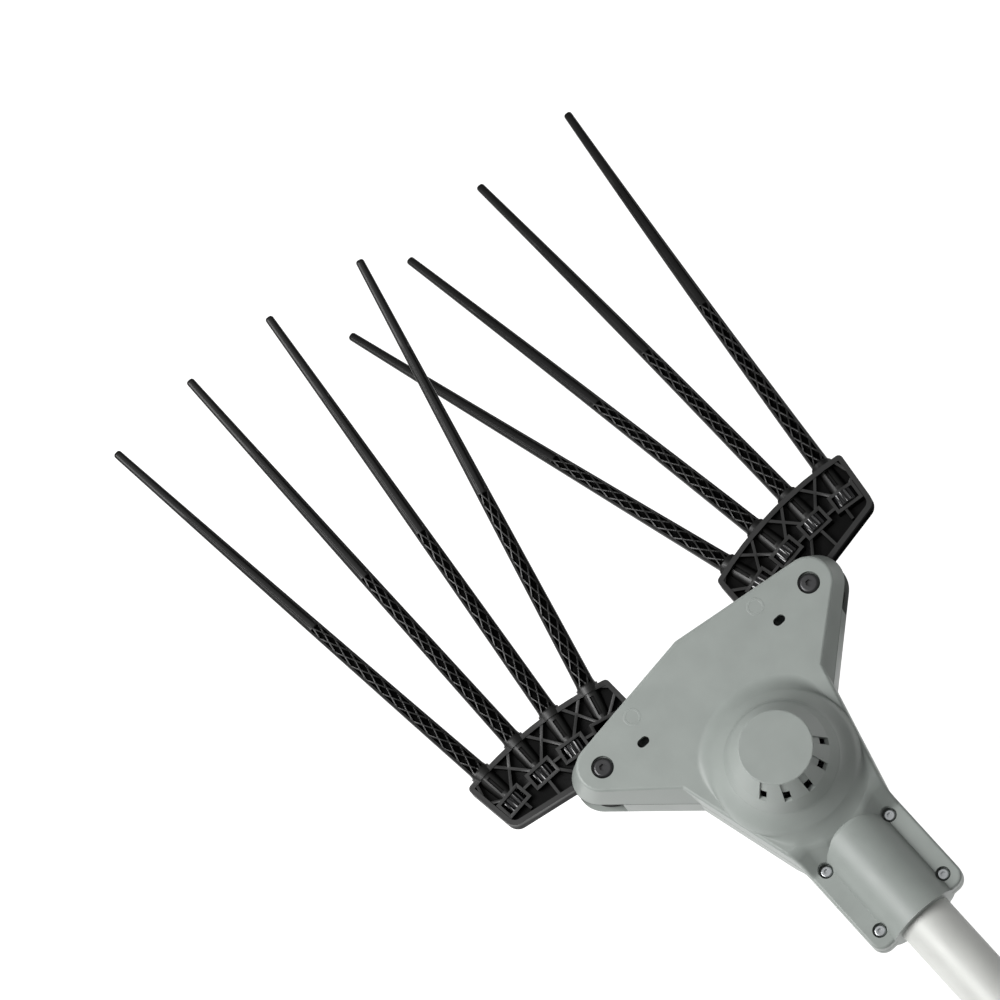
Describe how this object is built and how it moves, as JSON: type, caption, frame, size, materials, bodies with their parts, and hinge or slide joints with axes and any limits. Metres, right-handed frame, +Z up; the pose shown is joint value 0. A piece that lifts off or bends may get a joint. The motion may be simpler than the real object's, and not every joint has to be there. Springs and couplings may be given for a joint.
{
  "type": "electric olive harvester head",
  "caption": "Electric olive harvester head on its pole: a motor in a grey two-part housing drives a pair of black combs with long lattice tines that swing in mirror.",
  "frame": {"origin": "centre of the pole's free end", "axes": "+Y along the pole to the tines, +X to the right seen from the pole, +Z up through the motor dome"},
  "size_m": [0.3519, 0.7079, 0.1356],
  "materials": {
    "housing_plastic": "fine grained greenish grey",
    "comb_nylon": "black glass-filled nylon",
    "tine_nylon": "black nylon, satin",
    "pole_aluminium": "drawn, satin",
    "zinc_steel": "zinc plated",
    "black_steel": "blackened",
    "ground_steel": "ground",
    "gear_steel": "hobbed, oiled",
    "lever_steel": "punched sheet",
    "nut_chrome": "bright plated",
    "bush_bronze": "sintered",
    "plate_aluminium": "milled",
    "motor_steel": "black paint",
    "fan_plastic": "moulded"
  },
  "bodies": {
    "housing": {"upper_shell": "housing_plastic", "lower_shell": "housing_plastic", "pole_tube": "pole_aluminium", "clamp_screws": "zinc_steel", "clamp_nuts": "zinc_steel", "pivot_bolts": "black_steel", "pivot_nuts": "zinc_steel", "pivot_sleeves": "ground_steel", "motor_plate": "plate_aluminium", "plate_screws": "zinc_steel", "motor_can": "motor_steel", "motor_screws": "zinc_steel", "crank_bush": "bush_bronze", "guide_pins": "ground_steel"},
    "motor_rotor": {"motor_shaft": "ground_steel", "pinion": "gear_steel", "cooling_fan": "fan_plastic"},
    "crank": {"crank_gear": "gear_steel", "crank_shaft": "ground_steel", "shaft_clip": "ground_steel", "crank_roller": "ground_steel"},
    "yoke": {"yoke_plate": "lever_steel", "yoke_pins": "ground_steel"},
    "left_comb": {"left_comb_frame": "comb_nylon", "left_comb_bush": "bush_bronze", "left_drive_lever": "lever_steel", "left_lever_rivets": "ground_steel", "left_tine_nuts": "nut_chrome", "left_tine_1": "tine_nylon", "left_tine_2": "tine_nylon", "left_tine_3": "tine_nylon", "left_tine_4": "tine_nylon"},
    "right_comb": {"right_comb_frame": "comb_nylon", "right_comb_bush": "bush_bronze", "right_drive_lever": "lever_steel", "right_lever_rivets": "ground_steel", "right_tine_nuts": "nut_chrome", "right_tine_1": "tine_nylon", "right_tine_2": "tine_nylon", "right_tine_3": "tine_nylon", "right_tine_4": "tine_nylon"}
  },
  "joints": [
    {"name": "left_comb_swing", "type": "hinge", "parent": "housing", "child": "left_comb", "pos_m": [-0.0836, 0.3565, 0], "axis": [0, 0, 1], "range_deg": [-8, 8]},
    {"name": "right_comb_swing", "type": "hinge", "parent": "housing", "child": "right_comb", "pos_m": [0.0836, 0.3565, 0], "axis": [0, 0, 1], "range_deg": [-8, 8]},
    {"name": "yoke_slide", "type": "slide", "parent": "housing", "child": "yoke", "axis": [0, 1, 0], "range_m": [-0.0042, 0.0042]},
    {"name": "crank_turn", "type": "hinge", "parent": "housing", "child": "crank", "pos_m": [0, 0.313, 0], "axis": [0, 0, 1], "range_deg": [-90, 90]},
    {"name": "motor_spin", "type": "hinge", "parent": "housing", "child": "motor_rotor", "pos_m": [0, 0.283, 0], "axis": [0, 0, 1], "range_deg": [-360, 360]}
  ],
  "couplings": [
    {"joint": "right_comb_swing", "follows": "left_comb_swing", "ratio": -1},
    {"joint": "yoke_slide", "follows": "left_comb_swing", "m_per_rad": 0.02966},
    {"joint": "crank_turn", "follows": "left_comb_swing", "ratio": 11.239},
    {"joint": "motor_spin", "follows": "left_comb_swing", "ratio": -44.956}
  ]
}
